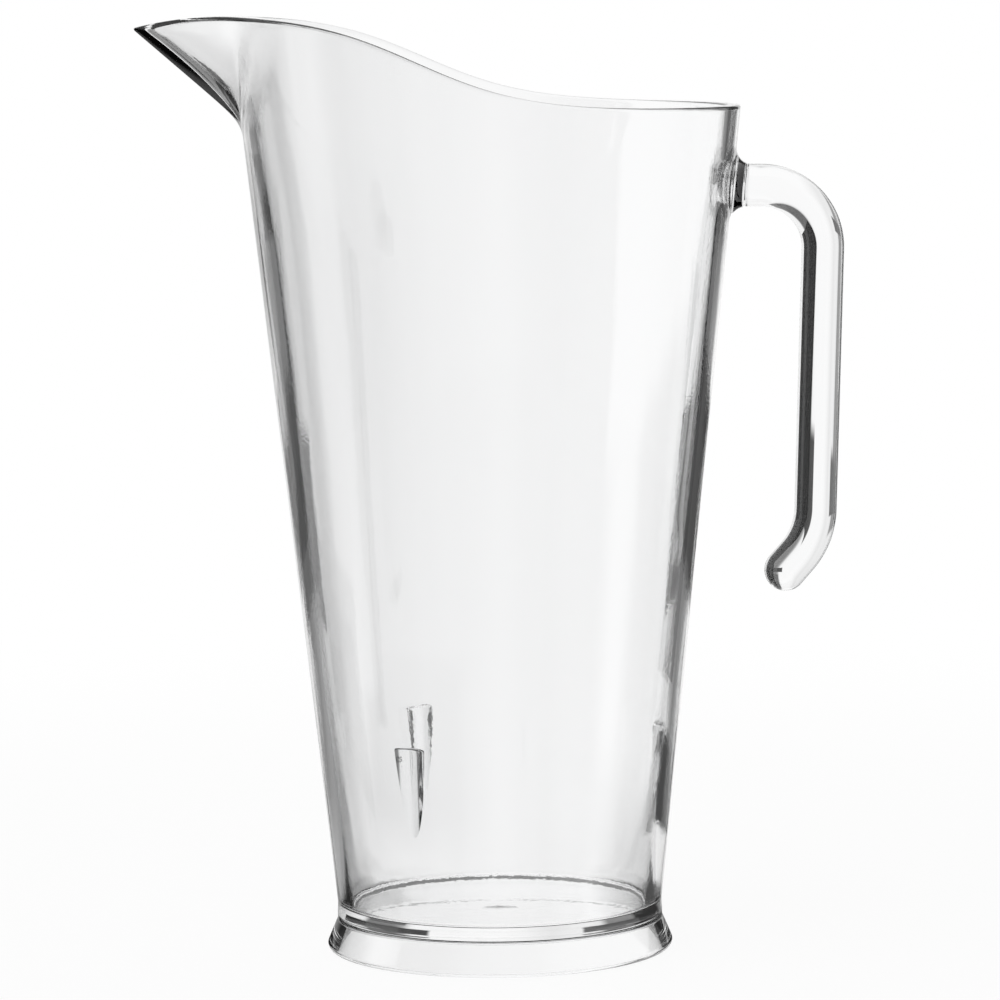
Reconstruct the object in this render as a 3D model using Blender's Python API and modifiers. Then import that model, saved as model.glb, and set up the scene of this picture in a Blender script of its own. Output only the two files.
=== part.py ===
"""Clear cocktail pitcher: a conical vessel with a beak spout, a floor, a foot ring, a hook handle and lugs.

Metres, +Z up. The pitcher stands on z = 0 with its foot's axis on Z.
The spout points towards -X and the handle towards +X.
"""
import math

import bmesh
import bpy

# Driving dimensions of the vessel wall
WALL = 0.0040
WALL_FLARE = 0.1073
WALL_RADIUS_AT_TABLE = 0.0455
WALL_END_Z = 0.0110
NECK_Z = 0.0147
BAND_RADIUS = 0.0471
STRAIGHT_TOP_Z = 0.2300
STRAIGHT_ROWS = 7
SPOUT_ROWS = 8
HALF_COLUMNS = 36
COLUMN_CROWDING = 1.5
RIM_ITERATIONS = 40

# Rim: an S curve from the low handle side to the high spout side, dipping again along the lip
RIM_LOW_Z = 0.2427
RIM_RISE = 0.0275
RIM_MIDDLE_X = -0.0195
RIM_SPREAD = 0.0153
LIP_START_X = -0.0713
LIP_DIP = 4.0
LIP_ROUND = 0.0008

# Spout: how far the keel reaches, how wide the cheeks start and how soft the folds are
KEEL_FOOT_Z = 0.2388
KEEL_SLOPE = 1.11
KEEL_SOFTNESS = 0.0018
SPOUT_REACH = 0.0305
SPOUT_CREASE = math.radians(22.0)
CREASE_SOFTNESS = 0.07
NOSE_ANGLE = 0.02
NOSE_DEPTH = 0.0144
LEAST_REACH = 1.0e-6

# Floor: a shallow dish with a fillet at the wall and a round gate mark underneath
GAP = 0.0003
FLOOR_CENTRE_Z = 0.0112
FLOOR_DISH = 0.0020
FLOOR_THICKNESS = 0.0038
FLOOR_FILLET = 0.0015
FLOOR_EDGE = 0.0004
GATE_RADIUS = 0.0057
GATE_DEPTH = 0.0005
DISH_STEPS = 5
FILLET_STEPS = 4

# Foot ring: a flared skirt that is hollow under the floor
FOOT_RADIUS = 0.0500
FOOT_WALL = 0.0031
FOOT_CORNER = 0.0015
CORNER_START = math.radians(22.0)
CORNER_STEPS = 5
FOOT_HEEL_Z = 0.0087
FOOT_ROOT_RADIUS = 0.0446
TURN_STEPS = 72

# Handle: a round rod that runs out, down and hooks back under the hand
ROD_RADIUS = 0.0061
ROD_Z = 0.2196
TOP_BEND_X = 0.0770
TOP_BEND_RADIUS = 0.0178
UPRIGHT_LEAN = math.radians(1.9)
UPRIGHT_END_Z = 0.1262
HOOK_RADIUS = 0.0220
HOOK_TURN = math.radians(39.3)
HOOK_TAIL = 0.0050
ROOT_FILLET = 0.0050
ROOT_DEPTH = 0.0040
ROOT_STEPS = 8
TOP_BEND_STEPS = 12
HOOK_STEPS = 7
TIP_STEPS = 6
TIP_SWEEP = math.radians(88.0)
ROD_SIDES_RESOLUTION = 6

# Stacking lugs: round columns on the inside that fade into the tapering wall
LUG_COUNT = 3
LUG_TOP_Z = 0.0646
LUG_FADE_Z = 0.0390
LUG_RADIUS = 0.0057
LUG_SIDES = 40

CUTTER_SIDES = 144
CUTTER_BOTTOM_Z = -0.0200
CUTTER_TOP_Z = 0.3000
WELD_DISTANCE = 0.00001
SHARP_ANGLE = math.radians(35.0)
CLEAR_PLASTIC = (0.93, 0.95, 0.96, 1.0)
PLASTIC_ROUGHNESS = 0.04
PLASTIC_IOR = 1.585


def wall_radius(z):
    """Outer radius of the conical wall at a height."""
    return WALL_RADIUS_AT_TABLE + WALL_FLARE * z


def softplus(value, softness):
    """Rounded version of max(value, 0)."""
    scaled = value / softness
    return softness * (max(scaled, 0.0) + math.log1p(math.exp(-abs(scaled))))


def spout_reach(z):
    """Distance that the sharp keel of the spout stands out from the cone at a height."""
    return max(KEEL_SLOPE * softplus(z - KEEL_FOOT_Z, KEEL_SOFTNESS), LEAST_REACH)


def section_radius(azimuth, z, inset):
    """Radius of the wall's section, measured from the spout's side, at a depth under the outer surface.

    In plan each cheek of the beak is a straight line from the keel to a soft crease on the cone.
    On the inside the keel lies deeper, so the nose of the beak is solid.
    """
    cone = wall_radius(z)
    reach = spout_reach(z)
    share = reach / SPOUT_REACH
    crease = SPOUT_CREASE * math.sqrt(share)
    solid = NOSE_DEPTH * inset / WALL
    keel = cone + reach - solid * share * max(1.0 - share, 0.0)
    cheek = math.atan2(cone * math.sin(crease), keel - cone * math.cos(crease))
    normal = math.pi / 2 - cheek
    line_distance = keel * math.sin(cheek) - inset
    along = min(math.hypot(azimuth, NOSE_ANGLE), normal)
    line = line_distance / math.cos(normal - along)
    return cone - inset + softplus(line - cone + inset, CREASE_SOFTNESS * reach)


def wall_point(azimuth, z, inset):
    """Point of the wall at an azimuth from the spout."""
    radius = section_radius(azimuth, z, inset)
    return (-radius * math.cos(azimuth), -radius * math.sin(azimuth), z)


def rim_height(x):
    """Height of the rim over a position between spout and handle."""
    rise = RIM_RISE / (1.0 + math.exp((x - RIM_MIDDLE_X) / RIM_SPREAD))
    return RIM_LOW_Z + rise - LIP_DIP * max(LIP_START_X - x, 0.0) ** 2


def rim_z(azimuth, inset):
    """Height where a column of the wall meets the rim curve."""
    z = RIM_LOW_Z
    for _ in range(RIM_ITERATIONS):
        z = 0.5 * (z + rim_height(wall_point(azimuth, z, inset)[0]))
    return z


def column_azimuths():
    """Azimuths of the columns, crowded together at the keel."""
    steps = [j / HALF_COLUMNS for j in range(1, HALF_COLUMNS)]
    half = [math.pi * step ** COLUMN_CROWDING for step in steps]
    return [0.0] + half + [math.pi] + [-angle for angle in reversed(half)]


def side_rings(azimuths, inset, lip_drop):
    """Rings of one side of the wall, from its end at the foot up to the edge of the lip."""
    band = BAND_RADIUS if inset == 0.0 else wall_radius(WALL_END_Z) - inset
    rings = [[(-band * math.cos(a), -band * math.sin(a), WALL_END_Z) for a in azimuths]]
    for row in range(STRAIGHT_ROWS):
        z = NECK_Z + (STRAIGHT_TOP_Z - NECK_Z) * row / (STRAIGHT_ROWS - 1)
        rings.append([wall_point(a, z, inset) for a in azimuths])
    tops = [rim_z(a, inset) - lip_drop for a in azimuths]
    for row in range(1, SPOUT_ROWS + 1):
        share = row / SPOUT_ROWS
        heights = [STRAIGHT_TOP_Z + (top - STRAIGHT_TOP_Z) * share for top in tops]
        rings.append([wall_point(a, z, inset) for a, z in zip(azimuths, heights)])
    return rings


def lip_ring(azimuths, inset, drop):
    """Ring on the rounded lip, a little under the rim curve."""
    return [wall_point(a, rim_z(a, inset) - drop, inset) for a in azimuths]


def vessel_mesh():
    """Loft of the wall: up the outside, over the rounded lip and down the inside."""
    azimuths = column_azimuths()
    round_in = LIP_ROUND * (1.0 - math.sqrt(0.5))
    rings = side_rings(azimuths, 0.0, LIP_ROUND)
    rings.append(lip_ring(azimuths, round_in, round_in))
    rings.append(lip_ring(azimuths, LIP_ROUND, 0.0))
    rings.append(lip_ring(azimuths, WALL - LIP_ROUND, 0.0))
    rings.append(lip_ring(azimuths, WALL - round_in, round_in))
    rings.extend(reversed(side_rings(azimuths, WALL, LIP_ROUND)))
    return closed_loft("vessel_body", rings)


def closed_loft(name, rings):
    """Mesh that joins each ring to the next and the last ring to the first."""
    bm = bmesh.new()
    loops = [[bm.verts.new(point) for point in ring] for ring in rings]
    count = len(rings[0])
    for lower, upper in zip(loops, loops[1:] + loops[:1]):
        for j in range(count):
            k = (j + 1) % count
            bm.faces.new((lower[j], lower[k], upper[k], upper[j]))
    bmesh.ops.recalc_face_normals(bm, faces=bm.faces)
    return mesh_from(bm, name)


def mesh_from(bm, name):
    """Mesh datablock from a bmesh, shaded smooth apart from sharp edges."""
    mesh = bpy.data.meshes.new(name)
    bm.to_mesh(mesh)
    bm.free()
    mesh.shade_smooth()
    mesh.set_sharp_from_angle(angle=SHARP_ANGLE)
    return mesh


def clear_material(name):
    """Clear moulded plastic."""
    material = bpy.data.materials.new(name)
    material.use_nodes = True
    shader = material.node_tree.nodes["Principled BSDF"]
    shader.inputs["Base Color"].default_value = CLEAR_PLASTIC
    shader.inputs["Roughness"].default_value = PLASTIC_ROUGHNESS
    shader.inputs["Metallic"].default_value = 0.0
    shader.inputs["IOR"].default_value = PLASTIC_IOR
    shader.inputs["Transmission Weight"].default_value = 1.0
    return material


def add_part(collection, parent, mesh):
    """Named object with its own material, parented to the pitcher's empty."""
    part = bpy.data.objects.new(mesh.name, mesh)
    part.data.materials.append(clear_material(mesh.name + "_clear"))
    part.parent = parent
    collection.objects.link(part)
    return part


def cone_cutter(collection, name, inset):
    """Solid cone that follows the wall at a depth under its outer surface."""
    bm = bmesh.new()
    low = wall_radius(CUTTER_BOTTOM_Z) - inset
    high = wall_radius(CUTTER_TOP_Z) - inset
    depth = CUTTER_TOP_Z - CUTTER_BOTTOM_Z
    bmesh.ops.create_cone(bm, cap_ends=True, segments=CUTTER_SIDES, radius1=low, radius2=high, depth=depth)
    cutter = bpy.data.objects.new(name, mesh_from(bm, name))
    cutter.location.z = (CUTTER_BOTTOM_Z + CUTTER_TOP_Z) / 2
    cutter.hide_render = True
    cutter.display_type = "WIRE"
    collection.objects.link(cutter)
    return cutter


def add_boolean(part, operation, cutter):
    """Exact Boolean with a cutter."""
    modifier = part.modifiers.new(operation.lower(), "BOOLEAN")
    modifier.operation = operation
    modifier.solver = "EXACT"
    modifier.object = cutter


def profile_mesh(name, points, closed):
    """Profile in the XZ plane for a turned piece, running down its outer side."""
    bm = bmesh.new()
    verts = [bm.verts.new((x, 0.0, z)) for x, z in points]
    ends = verts[1:] + verts[:1] if closed else verts[1:]
    for start, end in zip(verts, ends):
        bm.edges.new((start, end))
    return mesh_from(bm, name)


def turn(part):
    """Screw modifier that turns a profile all the way round Z."""
    screw = part.modifiers.new("turned", "SCREW")
    screw.steps = TURN_STEPS
    screw.render_steps = TURN_STEPS
    screw.use_merge_vertices = True
    screw.merge_threshold = WELD_DISTANCE
    screw.use_smooth_shade = True


def arc(centre, radius, start, end, steps):
    """Points of an arc in the XZ plane, with angles from +X towards +Z."""
    angles = [start + (end - start) * k / steps for k in range(steps + 1)]
    return [(centre[0] + radius * math.cos(a), centre[1] + radius * math.sin(a)) for a in angles]


def inner_radius(z):
    """Radius of the space that a piece inside the wall may fill, with its gap."""
    return wall_radius(z) - WALL - GAP


def floor_edge():
    """Radius where the floor's dish ends, and the height of its top there."""
    top = FLOOR_CENTRE_Z + FLOOR_DISH
    return inner_radius(top) - FLOOR_EDGE - FLOOR_FILLET, top


def dish(depth, outward):
    """Points of the floor's dish at a depth under its top, between its axis and its edge."""
    edge, top = floor_edge()
    shares = [k / DISH_STEPS for k in range(DISH_STEPS + 1)]
    points = [(edge * share, top - FLOOR_DISH * (1.0 - share ** 2) - depth) for share in shares]
    return points if outward else points[::-1]


def floor_profile():
    """Dished floor with an upturned fillet at the wall and a shallow round gate mark underneath."""
    edge, top = floor_edge()
    lip_z = top + FLOOR_FILLET
    fillet = arc((edge, lip_z), FLOOR_FILLET, -math.pi / 2, 0.0, FILLET_STEPS)[1:]
    under_z = top - FLOOR_THICKNESS
    low_radius = inner_radius(WALL_END_Z)
    side = [(inner_radius(lip_z), lip_z), (low_radius, WALL_END_Z), (low_radius, under_z)]
    underside = [point for point in dish(FLOOR_THICKNESS, outward=False) if point[0] > GATE_RADIUS]
    gate_z = FLOOR_CENTRE_Z - FLOOR_THICKNESS
    gate_top = gate_z + GATE_DEPTH
    gate = [(GATE_RADIUS, gate_z), (GATE_RADIUS - GATE_DEPTH, gate_top), (0.0, gate_top)]
    return dish(0.0, outward=True) + fillet + side + underside + gate


def foot_profile():
    """Flared skirt under the wall, with a shoulder round the floor's edge and open below it."""
    top = WALL_END_Z - GAP
    under_z = floor_edge()[1] - FLOOR_THICKNESS
    shoulder = inner_radius(WALL_END_Z) + GAP
    corner_centre = (FOOT_RADIUS - FOOT_CORNER, FOOT_CORNER)
    corner = arc(corner_centre, FOOT_CORNER, CORNER_START, -math.pi / 2, CORNER_STEPS)
    outer = [(BAND_RADIUS, top), (BAND_RADIUS, FOOT_HEEL_Z)] + corner
    inner = [(FOOT_RADIUS - FOOT_WALL, 0.0), (FOOT_ROOT_RADIUS, under_z)]
    return outer + inner + [(shoulder, under_z), (shoulder, top)]


def handle_path():
    """Centre line of the rod from the wall to the tip, as (x, z) points with a radius factor each.

    The root leaves square to the leaning wall, and its fillet swells the rod there.
    """
    wall_x = wall_radius(ROD_Z)
    points = []
    for k in range(ROOT_STEPS + 1):
        out = ROOT_FILLET * k / ROOT_STEPS
        swell = ROOT_FILLET - math.sqrt(ROOT_FILLET ** 2 - (ROOT_FILLET - out) ** 2)
        points.append((wall_x + out, ROD_Z + (ROOT_FILLET - out) * WALL_FLARE, 1.0 + swell / ROD_RADIUS))
    buried_z = ROD_Z + (ROOT_FILLET + ROOT_DEPTH) * WALL_FLARE
    points.insert(0, (wall_x - ROOT_DEPTH, buried_z, points[0][2]))
    bend_centre = (TOP_BEND_X, ROD_Z - TOP_BEND_RADIUS)
    bend = arc(bend_centre, TOP_BEND_RADIUS, math.pi / 2, -UPRIGHT_LEAN, TOP_BEND_STEPS)
    end_x = bend[-1][0] - (bend[-1][1] - UPRIGHT_END_Z) * math.tan(UPRIGHT_LEAN)
    hook_centre = (end_x - HOOK_RADIUS * math.cos(UPRIGHT_LEAN),
                   UPRIGHT_END_Z + HOOK_RADIUS * math.sin(UPRIGHT_LEAN))
    heading = UPRIGHT_LEAN + HOOK_TURN
    hook = arc(hook_centre, HOOK_RADIUS, -UPRIGHT_LEAN, -heading, HOOK_STEPS)
    points += [(x, z, 1.0) for x, z in bend + hook]
    for k in range(TIP_STEPS + 1):
        sweep = TIP_SWEEP * k / TIP_STEPS
        run = HOOK_TAIL + ROD_RADIUS * math.sin(sweep)
        points.append((hook[-1][0] - run * math.sin(heading), hook[-1][1] - run * math.cos(heading),
                       math.cos(sweep)))
    return points


def handle_mesh():
    """Rod swept along the handle's path, with a flared root and a round tip."""
    curve = bpy.data.curves.new("handle_path", "CURVE")
    curve.dimensions = "3D"
    curve.bevel_depth = ROD_RADIUS
    curve.bevel_resolution = ROD_SIDES_RESOLUTION
    curve.use_fill_caps = True
    path = handle_path()
    spline = curve.splines.new("POLY")
    spline.points.add(len(path) - 1)
    for point, (x, z, factor) in zip(spline.points, path):
        point.co = (x, 0.0, z, 1.0)
        point.radius = factor
    guide = bpy.data.objects.new("handle_path", curve)
    bpy.context.scene.collection.objects.link(guide)
    evaluated = guide.evaluated_get(bpy.context.evaluated_depsgraph_get())
    swept = bpy.data.meshes.new_from_object(evaluated)
    bpy.data.objects.remove(guide)
    bm = bmesh.new()
    bm.from_mesh(swept)
    bmesh.ops.remove_doubles(bm, verts=bm.verts, dist=WELD_DISTANCE)
    bmesh.ops.recalc_face_normals(bm, faces=bm.faces)
    return mesh_from(bm, "handle")


def lug_mesh(name):
    """Upright round column whose innermost line stands where the wall fades into it."""
    height = LUG_TOP_Z - LUG_FADE_Z
    axis_x = inner_radius(LUG_FADE_Z) + LUG_RADIUS
    bm = bmesh.new()
    bmesh.ops.create_cone(bm, cap_ends=True, segments=LUG_SIDES, radius1=LUG_RADIUS, radius2=LUG_RADIUS,
                          depth=height)
    bmesh.ops.translate(bm, verts=bm.verts, vec=(axis_x, 0.0, LUG_FADE_Z + height / 2))
    return mesh_from(bm, name)


def main():
    """Build every part of the pitcher."""
    for old in list(bpy.data.objects):
        bpy.data.objects.remove(old)
    parts = bpy.data.collections.new("cocktail_pitcher")
    cutters = bpy.data.collections.new("cutters")
    for collection in (parts, cutters):
        bpy.context.scene.collection.children.link(collection)
    pitcher = bpy.data.objects.new("pitcher", None)
    parts.objects.link(pitcher)

    add_part(parts, pitcher, vessel_mesh())
    turn(add_part(parts, pitcher, profile_mesh("floor_disc", floor_profile(), closed=False)))
    turn(add_part(parts, pitcher, profile_mesh("foot_ring", foot_profile(), closed=True)))
    outside = cone_cutter(cutters, "outside_of_wall", -GAP)
    add_boolean(add_part(parts, pitcher, handle_mesh()), "DIFFERENCE", outside)
    inside = cone_cutter(cutters, "inside_of_wall", WALL + GAP)
    for number in range(LUG_COUNT):
        lug = add_part(parts, pitcher, lug_mesh(f"stacking_lug_{number + 1}"))
        lug.rotation_euler.z = math.tau * number / LUG_COUNT
        add_boolean(lug, "INTERSECT", inside)


main()
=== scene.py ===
"""Looks of a clear moulded pitcher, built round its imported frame.

Metres, +Z up. The spout points towards -X and the handle towards +X.
"""
import logging
import math
from dataclasses import dataclass
from enum import Enum
from typing import Iterable, Optional, Sequence, Union

import bmesh
import bpy
from mathutils import Euler, Matrix, Vector


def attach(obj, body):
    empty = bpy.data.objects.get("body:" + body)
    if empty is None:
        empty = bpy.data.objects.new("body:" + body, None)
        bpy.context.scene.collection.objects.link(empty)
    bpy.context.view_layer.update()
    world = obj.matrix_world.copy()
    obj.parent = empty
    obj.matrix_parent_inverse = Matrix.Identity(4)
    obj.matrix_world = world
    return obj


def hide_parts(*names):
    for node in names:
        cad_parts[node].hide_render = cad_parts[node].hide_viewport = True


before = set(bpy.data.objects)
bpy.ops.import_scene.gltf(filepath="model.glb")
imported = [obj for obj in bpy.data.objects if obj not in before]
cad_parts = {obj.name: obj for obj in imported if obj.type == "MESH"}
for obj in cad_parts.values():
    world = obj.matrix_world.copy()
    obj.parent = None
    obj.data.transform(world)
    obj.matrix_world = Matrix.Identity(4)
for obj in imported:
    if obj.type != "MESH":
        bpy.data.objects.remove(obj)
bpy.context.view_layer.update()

BODY = "root"
LOG = logging.getLogger("pitcher")
QUARTER_TURN = 0.5 * math.pi
FULL_CIRCLE = 360.0

Point = tuple[float, float, float]
Flat = tuple[float, float]
Ring = list[Point]
Colour = tuple[float, float, float]
Plug = Union["Field", float, Sequence[float]]


class Face(Enum):
    """What a face of a piece is: open to the air, or welded to its neighbour."""

    CLEAR = 0
    WELDED = 1


class Seen(Enum):
    """Which rays may see a card of the studio."""

    THROUGH_GLASS = "through_glass"
    ALWAYS = "always"


class Field:
    """A shader value that Python operators can work on."""

    def __init__(self, recipe: "Recipe", socket: bpy.types.NodeSocket) -> None:
        """Keep a socket with the recipe that it belongs to."""
        self.recipe = recipe
        self.socket = socket

    def _math(self, operation: str, *values: Plug) -> "Field":
        """Result of one Math node."""
        return self.recipe.node("Math", {"operation": operation}, dict(enumerate(values)))

    def __add__(self, other: Plug) -> "Field":
        """Sum."""
        return self._math("ADD", self, other)

    __radd__ = __add__

    def __sub__(self, other: Plug) -> "Field":
        """Difference."""
        return self._math("SUBTRACT", self, other)

    def __mul__(self, other: Plug) -> "Field":
        """Product."""
        return self._math("MULTIPLY", self, other)

    __rmul__ = __mul__

    def __pow__(self, other: Plug) -> "Field":
        """Power."""
        return self._math("POWER", self, other)

    def at_most(self, other: Plug) -> "Field":
        """Smaller of two values."""
        return self._math("MINIMUM", self, other)

    def bearing(self, other: Plug) -> "Field":
        """Angle of a point whose sine part is this value and whose cosine part is the other."""
        return self._math("ARCTAN2", self, other)


class Recipe:
    """Node tree of one material or world."""

    def __init__(self, tree: bpy.types.NodeTree) -> None:
        """Start from an empty tree."""
        self.tree = tree
        tree.nodes.clear()

    def node(self, kind: str, settings: Optional[dict] = None, inputs: Optional[dict] = None,
             output: Union[int, str] = 0) -> Field:
        """Add a node.

        Args:
            kind: Blender's type name, without the ShaderNode in front.
            settings: attributes that are set first; stops is a ramp's list of (position, colour).
            inputs: values or links by socket name or number.
            output: name or number of the output to hand back.

        Returns:
            The chosen output.
        """
        made = self.tree.nodes.new(f"ShaderNode{kind}")
        for name, value in (settings or {}).items():
            if name == "stops":
                self._stops(made.color_ramp, value)
            else:
                setattr(made, name, value)
        for key, value in (inputs or {}).items():
            if isinstance(value, Field):
                self.tree.links.new(value.socket, made.inputs[key])
            else:
                made.inputs[key].default_value = value
        return Field(self, made.outputs[output] if made.outputs else None)

    def _stops(self, ramp: bpy.types.ColorRamp, stops: Sequence[tuple]) -> None:
        """Set a ramp's stops.

        Args:
            ramp: the ramp.
            stops: positions and colours, in order.
        """
        while len(ramp.elements) < len(stops):
            ramp.elements.new(0.5)
        for element, (position, colour) in zip(ramp.elements, stops):
            element.position = position
            element.color = (*colour, 1.0)

    def mix(self, share: Plug, low: Plug, high: Plug) -> Field:
        """Blend of two colours.

        Args:
            share: 0 for the first colour, 1 for the second.
            low: first colour.
            high: second colour.

        Returns:
            The blended colour.
        """
        # The node repeats these sockets for each kind of data, so the colours go by number.
        inputs = {0: share, 6: low, 7: high}
        return self.node("Mix", {"data_type": "RGBA"}, inputs, output=2)

    def surface(self, shader: Field, output: str = "OutputMaterial") -> None:
        """Make a shader the tree's result."""
        self.node(output, None, {"Surface": shader})

    def noise(self, where: Field, scale: float, detail: float, stretch: Point = (1.0, 1.0, 1.0)) -> Field:
        """Soft noise over the piece.

        Args:
            where: object coordinates.
            scale: waves per metre.
            detail: octaves.
            stretch: scale along each axis.

        Returns:
            A value about 0.5.
        """
        spread = self.node("VectorMath", {"operation": "MULTIPLY"}, {0: where, 1: stretch})
        inputs = {"Vector": spread, "Scale": scale, "Detail": detail}
        return self.node("TexNoise", None, inputs, output="Fac")

    def places(self) -> Field:
        """Object coordinates."""
        return self.node("TexCoord", output="Object")

    def axes(self) -> tuple[Field, Field, Field]:
        """Object coordinates, one by one."""
        split = self.node("SeparateXYZ", None, {0: self.places()})
        return tuple(Field(self, output) for output in split.socket.node.outputs)

    def away(self) -> Field:
        """Distance from the upright axis."""
        x, y, _ = self.axes()
        return (x * x + y * y) ** 0.5

    def ease(self, value: Field, start: float, end: float) -> Field:
        """Soft step.

        Args:
            value: what is compared.
            start: where the step begins.
            end: where it is complete.

        Returns:
            0 before the step and 1 after it.
        """
        settings = {"interpolation_type": "SMOOTHSTEP"}
        return self.node("MapRange", settings, {"Value": value, "From Min": start, "From Max": end})

    def seen_by_lens(self) -> Field:
        """Tell looks from light.

        Returns:
            1 for camera, mirror and glass rays, 0 for light that falls on things.
        """
        path = self.node("LightPath", output="Is Camera Ray")
        rays = path.socket.node.outputs
        glossy = Field(self, rays["Is Glossy Ray"])
        through = Field(self, rays["Is Transmission Ray"])
        return (path + glossy + through).at_most(1.0)


def new_recipe(name: str) -> tuple[bpy.types.Material, Recipe]:
    """Start a material.

    Args:
        name: material name.

    Returns:
        The material and its empty recipe.
    """
    material = bpy.data.materials.new(name)
    material.use_nodes = True
    return material, Recipe(material.node_tree)


@dataclass(frozen=True)
class ClearPlastic:
    """Clear moulded plastic with faint flow ripples, handling haze and a whisper of tint."""

    name: str
    pale: Colour = (0.996, 0.997, 0.998)
    deep: Colour = (0.985, 0.987, 0.989)
    ior: float = 1.585
    transmission: float = 1.0
    polish: float = 0.004
    haze: float = 0.020
    haze_scale: float = 26.0
    haze_detail: float = 3.0
    haze_power: float = 3.0
    ripple_scale: float = 55.0
    ripple_detail: float = 2.0
    ripple_stretch: Point = (1.0, 1.0, 0.16)
    ripple_height: float = 0.00012
    ripple_strength: float = 0.10
    grain_scale: float = 900.0
    grain_detail: float = 1.0
    grain_share: float = 0.04

    def material(self) -> bpy.types.Material:
        """Make the material.

        Returns:
            A glassy material with its own ripple, haze and tint.
        """
        material, recipe = new_recipe(self.name)
        where = recipe.places()
        drift = recipe.noise(where, self.haze_scale, self.haze_detail)
        ripple = recipe.noise(where, self.ripple_scale, self.ripple_detail, self.ripple_stretch)
        grain = recipe.noise(where, self.grain_scale, self.grain_detail)
        height = ripple + self.grain_share * grain
        bump_inputs = {"Strength": self.ripple_strength, "Distance": self.ripple_height, "Height": height}
        normal = recipe.node("Bump", None, bump_inputs)
        tint = recipe.mix(drift, (*self.deep, 1.0), (*self.pale, 1.0))
        rough = self.polish + (self.haze - self.polish) * drift ** self.haze_power
        shader = recipe.node("BsdfPrincipled", None, {
            "Base Color": tint, "Roughness": rough, "IOR": self.ior,
            "Transmission Weight": self.transmission, "Normal": normal})
        recipe.surface(shader)
        return material


@dataclass(frozen=True)
class WeldedFace:
    """Face inside a weld, which light crosses as if it were not there."""

    name: str = "welded_face"

    def material(self) -> bpy.types.Material:
        """Make the material, once for all pieces.

        Returns:
            A material that nobody sees.
        """
        if self.name in bpy.data.materials:
            return bpy.data.materials[self.name]
        material, recipe = new_recipe(self.name)
        recipe.surface(recipe.node("BsdfPrincipled", None, {"Alpha": 0.0}))
        return material


@dataclass(frozen=True)
class PaperFloor:
    """Pale paper sweep that is white to the lens and keeps a faint shadow."""

    name: str = "paper_floor"
    light: Colour = (0.90, 0.90, 0.90)
    dark: Colour = (0.86, 0.86, 0.86)
    fibre_scale: float = 60.0
    fibre_detail: float = 4.0
    glow: float = 1.0
    glow_share: float = 0.93
    shadow_reach: Flat = (0.25, 0.70)

    def material(self) -> bpy.types.Material:
        """Make the material.

        Returns:
            Paper that glows to the lens, less so near the foot.
        """
        material, recipe = new_recipe(self.name)
        fibre = recipe.noise(recipe.places(), self.fibre_scale, self.fibre_detail)
        tint = recipe.mix(fibre, (*self.dark, 1.0), (*self.light, 1.0))
        paper = recipe.node("BsdfDiffuse", None, {"Color": tint})
        glow = recipe.node("Emission", None, {"Strength": self.glow})
        far = recipe.ease(recipe.away(), *self.shadow_reach)
        share = recipe.seen_by_lens() * (self.glow_share + (1.0 - self.glow_share) * far)
        shader = recipe.node("MixShader", None, {0: share, 1: paper, 2: glow})
        recipe.surface(shader)
        return material


def turn_share(degrees: float) -> float:
    """Bearing as a share of a full turn, 0 at -180 degrees and 1 at 180."""
    return (degrees + 0.5 * FULL_CIRCLE) / FULL_CIRCLE


@dataclass(frozen=True)
class PaintedToneArea:
    """Soft patch of one painted tone, reflection where light and shade where dark, between two heights of a standing
    card or two distances of a lying one.
    """

    bearings: Flat
    rows: Flat
    tone: float
    soft_turn: float = 1.5
    soft_row: float = 0.010

    def mask(self, recipe: Recipe, turn: Field, row: Field) -> Field:
        """How much of the patch shows.

        Args:
            recipe: the card's recipe.
            turn: bearing as a share of a full turn.
            row: height over the floor, or distance from the axis.

        Returns:
            1 on the patch and 0 away from it.
        """
        start, end = (turn_share(degrees) for degrees in self.bearings)
        edge = self.soft_turn / FULL_CIRCLE
        sides = recipe.ease(turn, start - edge, start) - recipe.ease(turn, end, end + edge)
        low, high = self.rows
        rows = recipe.ease(row, low - self.soft_row, low) - recipe.ease(row, high, high + self.soft_row)
        return sides * rows


@dataclass(frozen=True)
class PaintedReflectionCard:
    """Glowing card that only glass and polish can see: its tone by bearing from the pitcher is painted reflection
    and painted shade.

    The stops are (bearing in degrees from +Y towards -X, tone) pairs in order. A card that lies on the
    floor may have other stops near the foot, which give way to the first ones over a span of distance.
    """

    name: str
    stops: tuple[Flat, ...]
    near_stops: tuple[Flat, ...] = ()
    near_span: Flat = (0.11, 0.26)
    areas: tuple[PaintedToneArea, ...] = ()

    def tones(self, recipe: Recipe, turn: Field, stops: tuple[Flat, ...]) -> Field:
        """Painted reflection tones round the pitcher.

        Args:
            recipe: the card's recipe.
            turn: bearing as a share of a full turn.
            stops: bearings and tones.

        Returns:
            The grey tone.
        """
        ramp = [(turn_share(degrees), (tone, tone, tone)) for degrees, tone in stops]
        return recipe.node("ValToRGB", {"stops": ramp}, {0: turn})

    def material(self) -> bpy.types.Material:
        """Make the material.

        Returns:
            A glowing material with the painted reflection tones and the patches of the card.
        """
        material, recipe = new_recipe(self.name)
        x, y, row = recipe.axes()
        turn = (x * -1.0).bearing(y) * (1.0 / math.tau) + 0.5
        tone = self.tones(recipe, turn, self.stops)
        if self.near_stops:
            row = recipe.away()
            far = recipe.ease(row, *self.near_span)
            tone = recipe.mix(far, self.tones(recipe, turn, self.near_stops), tone)
        # Patches of painted reflection and painted shade over the ramp's tones.
        for area in self.areas:
            tone = recipe.mix(area.mask(recipe, turn, row), tone, (area.tone, area.tone, area.tone, 1.0))
        # The card glows with its tone, painted reflection where light and painted shade where dark, seen only in the
        # glass.
        shader = recipe.node("Emission", None, {"Color": tone})
        recipe.surface(shader)
        return material


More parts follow.
